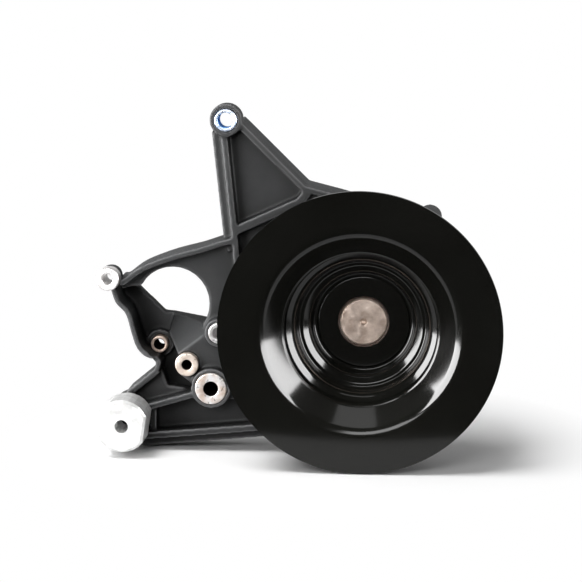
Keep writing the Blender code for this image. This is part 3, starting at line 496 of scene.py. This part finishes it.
def make_shaft():
    """The shaft as one plain bar, whose shown end gets a centre drilling and tool marks."""
    shaft = Round("bearing_shaft")
    edge, front, rear = shaft.radius, shaft.front, shaft.rear
    corners = [
        ((0.0, front + CENTRE_DEPTH), 0.0), ((0.9 * MM, front + 1.6 * MM), 0.0),
        ((CENTRE_RADIUS, front), 0.25 * MM),
        ((edge - SHAFT_EDGE, front), 0.3 * MM), ((edge, front + SHAFT_EDGE), 0.3 * MM),
        ((edge, rear - SHAFT_EDGE), 0.0), ((edge - SHAFT_EDGE, rear), 0.0), ((0.0, rear), 0.0),
    ]
    finish = turned_finish("shaft_steel", SHAFT, 0.34, 0.9, pitch=0.9 * MM)
    return stand_for(turned("shaft_turned", rounded(corners, steps=4), finish, segments=128, sharp=30),
                     "bearing_shaft", "pulley")


def dress_bearing():
    """The bearing and the slinger keep their CAD shapes, with a finish for each material slot."""
    finishes = {
        "bearing_steel": plain_finish("ground_steel", (0.60, 0.60, 0.62), 0.18, 1.0),
        "rubber": plain_finish("seal_rubber", (0.022, 0.022, 0.024), 0.62),
        "cage": plain_finish("cage_nylon", (0.50, 0.38, 0.22), 0.50),
        "steel": plain_finish("slinger_steel", (0.56, 0.52, 0.48), 0.32, 1.0),
    }
    slots = {entry["node"]: entry["material_slot"] for entry in frame["record"]["subparts"]}
    for name, node in frame["nodes"].items():
        if name.endswith(("_seal", "_cage", "_ring", "slinger")) or "_ball_" in name:
            node.data.materials.clear()
            node.data.materials.append(finishes[slots[name]])


# ---------------------------------------------------------------- studio

def area_light(name, place, target, size, watts, diffuse=True, glossy=True):
    """A lamp aimed at the target, which can be kept out of diffuse light or out of reflections."""
    data = bpy.data.lights.new(name, "AREA")
    data.shape = "RECTANGLE"
    data.size, data.size_y = size
    data.energy = watts
    light = bpy.data.objects.new(name, data)
    light.location = place
    light.rotation_euler = (Vector(target) - Vector(place)).to_track_quat("-Z", "Y").to_euler()
    light.visible_diffuse = diffuse
    light.visible_glossy = glossy
    bpy.context.scene.collection.objects.link(light)


def make_floor(height):
    """A floor that takes the shadow; further off it glows white to the camera and in reflections."""
    n = Nodes("pale_floor")
    n.set(Base_Color=n.ramp(n.noise(3.0), FLOOR_DARK, FLOOR_PALE, 0.3, 0.7), Roughness=0.9)
    n.set(Specular_IOR_Level=0.0)
    path = n.add("ShaderNodeLightPath").outputs
    mirrored = n.math("MAXIMUM", path["Is Glossy Ray"], path["Is Transmission Ray"])
    seen = n.math("MAXIMUM", path["Is Camera Ray"], mirrored)
    glow = n.add("ShaderNodeEmission", {"Color": (1.0, 1.0, 1.0, 1.0), "Strength": 1.0})
    far = n.ramp(n.distance(SHADOW_MIDDLE, (1.0, 1.0, 0.0)), 0.0, 1.0, SHADOW_REACH, FLOOR_WHITE)
    white = n.math("MULTIPLY", seen, far)
    mixer = n.add("ShaderNodeMixShader", {0: white, 1: n.shader.outputs[0], 2: glow.outputs[0]})
    output = next(node for node in n.tree.nodes if node.type == "OUTPUT_MATERIAL")
    n.tree.links.new(mixer.outputs[0], output.inputs["Surface"])
    bm = bmesh.new()
    corners = [(-FLOOR_SIDE, -FLOOR_WHITE), (FLOOR_SIDE, -FLOOR_WHITE), (FLOOR_SIDE, FLOOR_BACK),
               (-FLOOR_SIDE, FLOOR_BACK)]
    bm.faces.new([bm.verts.new((x, y, height)) for x, y in corners])
    mesh = bpy.data.meshes.new("floor")
    bm.to_mesh(mesh)
    bm.free()
    mesh.materials.append(n.material)
    floor = bpy.data.objects.new("floor", mesh)
    bpy.context.scene.collection.objects.link(floor)


def make_world():
    """White to the camera; its light on the object grows from the front to the back."""
    world = bpy.data.worlds.new("studio")
    bpy.context.scene.world = world
    world.use_nodes = True
    tree = world.node_tree
    background = next(node for node in tree.nodes if node.type == "BACKGROUND")
    path = tree.nodes.new("ShaderNodeLightPath")
    place = tree.nodes.new("ShaderNodeTexCoord")
    split = tree.nodes.new("ShaderNodeSeparateXYZ")
    shade = tree.nodes.new("ShaderNodeMapRange")
    seen = tree.nodes.new("ShaderNodeMath")
    seen.operation = "MAXIMUM"
    pick = tree.nodes.new("ShaderNodeMix")
    shade.inputs["From Min"].default_value = -WORLD_SPREAD
    shade.inputs["From Max"].default_value = WORLD_SPREAD
    shade.inputs["To Min"].default_value = WORLD_FRONT
    shade.inputs["To Max"].default_value = WORLD_BACK
    links = tree.links
    links.new(place.outputs["Generated"], split.inputs[0])
    links.new(split.outputs["Y"], shade.inputs["Value"])
    links.new(path.outputs["Is Camera Ray"], seen.inputs[0])
    links.new(path.outputs["Is Transmission Ray"], seen.inputs[1])
    links.new(seen.outputs[0], pick.inputs[0])
    links.new(shade.outputs["Result"], pick.inputs[2])
    pick.inputs[3].default_value = 1.0
    links.new(pick.outputs[0], background.inputs["Strength"])
    background.inputs["Color"].default_value = (1.0, 1.0, 1.0, 1.0)


def make_camera(centre):
    """Looks down at the pulley's face from the front right, aimed at the middle of the whole object."""
    az, el = CAMERA_AZIMUTH, CAMERA_ELEVATION
    forward = Vector((-math.sin(az) * math.cos(el), math.cos(az) * math.cos(el), -math.sin(el)))
    right = Vector((math.cos(az), math.sin(az), 0.0))
    up = right.cross(forward)
    data = bpy.data.cameras.new("camera")
    data.lens = CAMERA_LENS
    data.sensor_width = 36.0
    data.clip_end = 20.0
    camera = bpy.data.objects.new("camera", data)
    aim = Vector(centre) + right * AIM_OFFSET[0] + up * AIM_OFFSET[1]
    camera.location = aim - forward * CAMERA_DISTANCE
    camera.rotation_euler = forward.to_track_quat("-Z", "Y").to_euler()
    bpy.context.scene.collection.objects.link(camera)
    bpy.context.scene.camera = camera


def make_studio():
    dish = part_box("pulley_dish")[0]
    make_floor(dish.z - FLOOR_DROP)
    make_world()
    make_camera((0.0, dish.y, 0.0))
    middle = (-0.03, -0.05, 0.0)
    area_light("top", (-0.50, -0.40, 1.20), middle, size=(0.8, 0.8), watts=20.0, glossy=False)
    area_light("overhead_glow", (0.0, -0.40, 1.20), middle, size=(0.7, 0.4), watts=1.3, diffuse=False)
    area_light("front", (-0.30, -1.35, 0.60), middle, size=(0.7, 0.5), watts=8.0)
    area_light("left_panel", (-0.55, -0.30, 0.11), (0, -0.07, 0.11), size=(0.8, 0.39), watts=24.0,
               diffuse=False)
    area_light("right_panel", (0.85, -0.40, 0.28), (0, -0.07, 0.24), size=(1.0, 0.74), watts=50.0,
               diffuse=False)


make_casting()
make_bushings()
make_standoff()
make_pulley()
make_shaft()
dress_bearing()
make_studio()

scene = bpy.context.scene
scene.view_settings.view_transform = "Standard"
